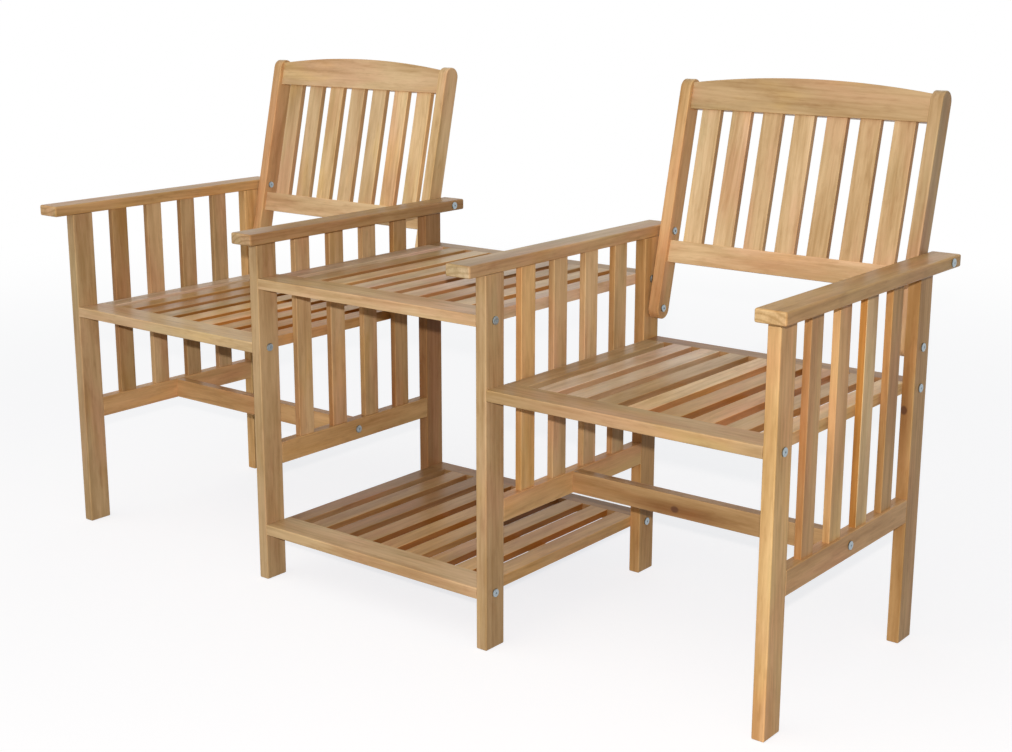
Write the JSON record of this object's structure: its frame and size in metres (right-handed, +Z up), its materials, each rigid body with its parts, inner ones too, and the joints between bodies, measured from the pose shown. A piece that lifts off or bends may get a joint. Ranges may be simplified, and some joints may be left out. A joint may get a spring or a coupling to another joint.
{
  "type": "garden bench with side table",
  "caption": "Slatted wooden garden seats with arms and leaning backs, joined side by side by a slatted side table with a lower shelf.",
  "frame": {"origin": "on the floor, under the middle of the overall box", "axes": "+X to the right seen from the front, along the bench; -Y is the front, where people sit down; +Z up"},
  "size_m": [1.606, 0.6132, 0.8978],
  "materials": {
    "wood": "oiled hardwood, satin",
    "zinc": "bright zinc plate"
  },
  "bodies": {
    "root": {"outer_left_front_leg": "wood", "outer_left_back_leg": "wood", "outer_left_side_slats": "wood", "outer_left_arm": "wood", "inner_left_front_leg": "wood", "inner_left_back_leg": "wood", "inner_left_side_slats": "wood", "inner_left_arm": "wood", "inner_right_front_leg": "wood", "inner_right_back_leg": "wood", "inner_right_side_slats": "wood", "inner_right_arm": "wood", "outer_right_front_leg": "wood", "outer_right_back_leg": "wood", "outer_right_side_slats": "wood", "outer_right_arm": "wood", "left_seat_front_rail": "wood", "left_seat_slats": "wood", "right_seat_front_rail": "wood", "right_seat_slats": "wood", "table_front_rail": "wood", "table_slats": "wood", "shelf_front_rail": "wood", "shelf_slats": "wood", "left_stretcher": "wood", "right_stretcher": "wood", "left_backrest_slats": "wood", "left_backrest_left_stile": "wood", "left_backrest_right_stile": "wood", "right_backrest_slats": "wood", "right_backrest_left_stile": "wood", "right_backrest_right_stile": "wood", "outer_left_seat_front_bolt": "zinc", "outer_left_seat_rear_bolt": "zinc", "outer_left_stretcher_bolt": "zinc", "outer_left_back_lower_bolt": "zinc", "outer_left_back_upper_bolt": "zinc", "inner_left_seat_front_bolt": "zinc", "inner_left_seat_rear_bolt": "zinc", "inner_left_table_front_bolt": "zinc", "inner_left_table_rear_bolt": "zinc", "inner_left_shelf_front_bolt": "zinc", "inner_left_shelf_rear_bolt": "zinc", "inner_left_stretcher_bolt": "zinc", "inner_left_back_lower_bolt": "zinc", "inner_left_back_upper_bolt": "zinc", "inner_right_seat_front_bolt": "zinc", "inner_right_seat_rear_bolt": "zinc", "inner_right_table_front_bolt": "zinc", "inner_right_table_rear_bolt": "zinc", "inner_right_shelf_front_bolt": "zinc", "inner_right_shelf_rear_bolt": "zinc", "inner_right_stretcher_bolt": "zinc", "inner_right_back_lower_bolt": "zinc", "inner_right_back_upper_bolt": "zinc", "outer_right_seat_front_bolt": "zinc", "outer_right_seat_rear_bolt": "zinc", "outer_right_stretcher_bolt": "zinc", "outer_right_back_lower_bolt": "zinc", "outer_right_back_upper_bolt": "zinc"}
  },
  "joints": []
}
